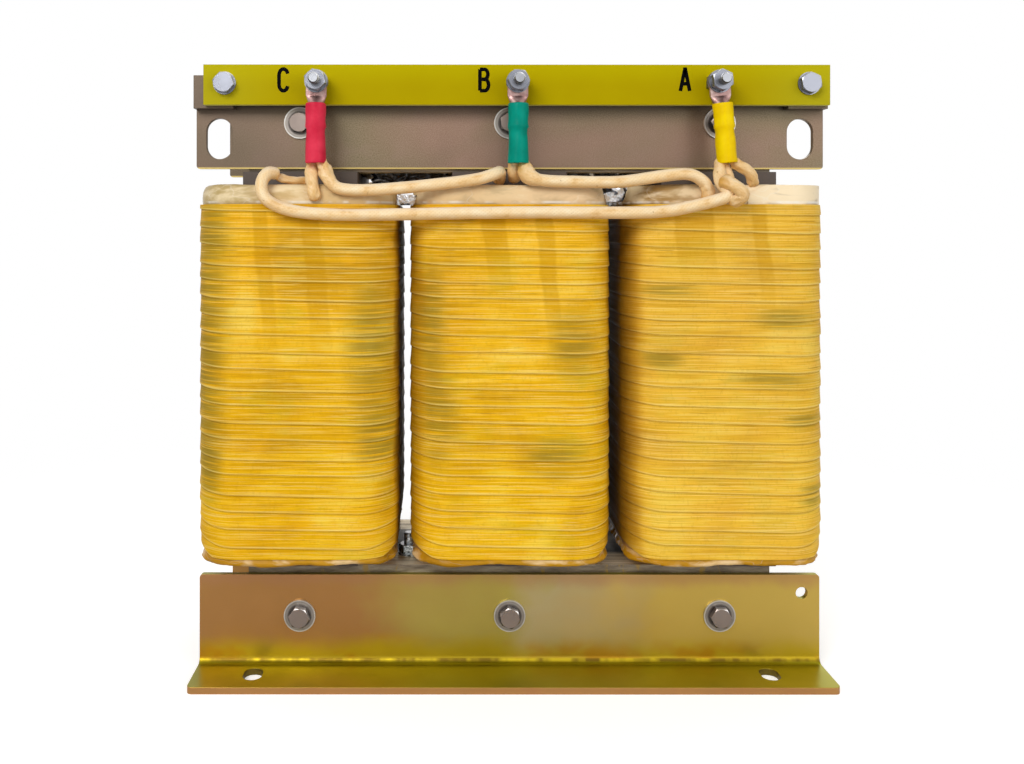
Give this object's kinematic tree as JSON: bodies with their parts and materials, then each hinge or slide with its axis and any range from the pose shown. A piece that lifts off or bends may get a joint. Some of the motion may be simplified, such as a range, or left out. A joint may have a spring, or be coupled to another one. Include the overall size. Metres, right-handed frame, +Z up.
{
  "type": "dry type transformer",
  "caption": "Open three-phase dry-type transformer: laminated core, tape-wrapped coils, folded steel clamps with feet, and a lettered terminal board.",
  "frame": {"origin": "on the ground, below the middle of the middle limb", "axes": "+X along the three limbs, from phase C to phase A; -Y out of the lettered front; +Z up"},
  "size_m": [0.478, 0.2244, 0.4585],
  "materials": {
    "core_laminations": "satin",
    "passivated_steel": "satin",
    "passivated_spacer": "satin",
    "insulating_tube": "matte",
    "zinc_fasteners": "satin",
    "epoxy_board": "gloss",
    "copper_lug": "satin",
    "sleeve_red": "satin",
    "sleeve_green": "satin",
    "sleeve_yellow": "satin",
    "lead_sleeving": "satin",
    "varnished_tape": "gloss",
    "end_film": "gloss",
    "pressboard": "matte",
    "copper_winding": "satin"
  },
  "bodies": {
    "root": {"board_bolt_nuts": "zinc_fasteners", "board_bolt_washers": "zinc_fasteners", "board_bolts": "zinc_fasteners", "board_spacers": "passivated_spacer", "bottom_collar_a": "end_film", "bottom_collar_b": "end_film", "bottom_collar_c": "end_film", "cable_lugs": "copper_lug", "coil_former_a": "pressboard", "coil_former_b": "pressboard", "coil_former_c": "pressboard", "coil_lead_a": "lead_sleeving", "coil_lead_b": "lead_sleeving", "coil_lead_c": "lead_sleeving", "core_earth_nut": "zinc_fasteners", "core_earth_stud": "zinc_fasteners", "core_earth_washer": "zinc_fasteners", "core_limb_a": "core_laminations", "core_limb_b": "core_laminations", "core_limb_c": "core_laminations", "delta_lead_ac": "lead_sleeving", "delta_lead_ba": "lead_sleeving", "delta_lead_cb": "lead_sleeving", "inner_winding_a": "copper_winding", "inner_winding_b": "copper_winding", "inner_winding_c": "copper_winding", "lower_clamp_front": "passivated_steel", "lower_clamp_rear": "passivated_steel", "outer_winding_a": "copper_winding", "outer_winding_b": "copper_winding", "outer_winding_c": "copper_winding", "rear_lead_a": "lead_sleeving", "rear_lead_b": "lead_sleeving", "rear_lead_c": "lead_sleeving", "sleeve_green": "sleeve_green", "sleeve_red": "sleeve_red", "sleeve_yellow": "sleeve_yellow", "star_lead": "lead_sleeving", "tape_wrap_a": "varnished_tape", "tape_wrap_b": "varnished_tape", "tape_wrap_c": "varnished_tape", "terminal_board_front": "epoxy_board", "terminal_board_rear": "epoxy_board", "terminal_bolts": "zinc_fasteners", "terminal_nuts": "zinc_fasteners", "terminal_spring_washers": "zinc_fasteners", "terminal_washers": "zinc_fasteners", "top_collar_a": "end_film", "top_collar_b": "end_film", "top_collar_c": "end_film", "upper_clamp_front": "passivated_steel", "upper_clamp_rear": "passivated_steel", "yoke_bolt_nuts": "zinc_fasteners", "yoke_bolt_spring_washers": "zinc_fasteners", "yoke_bolt_tubes": "insulating_tube", "yoke_bolt_washers": "zinc_fasteners", "yoke_bolts": "zinc_fasteners", "yoke_lower": "core_laminations", "yoke_upper": "core_laminations"}
  },
  "joints": []
}
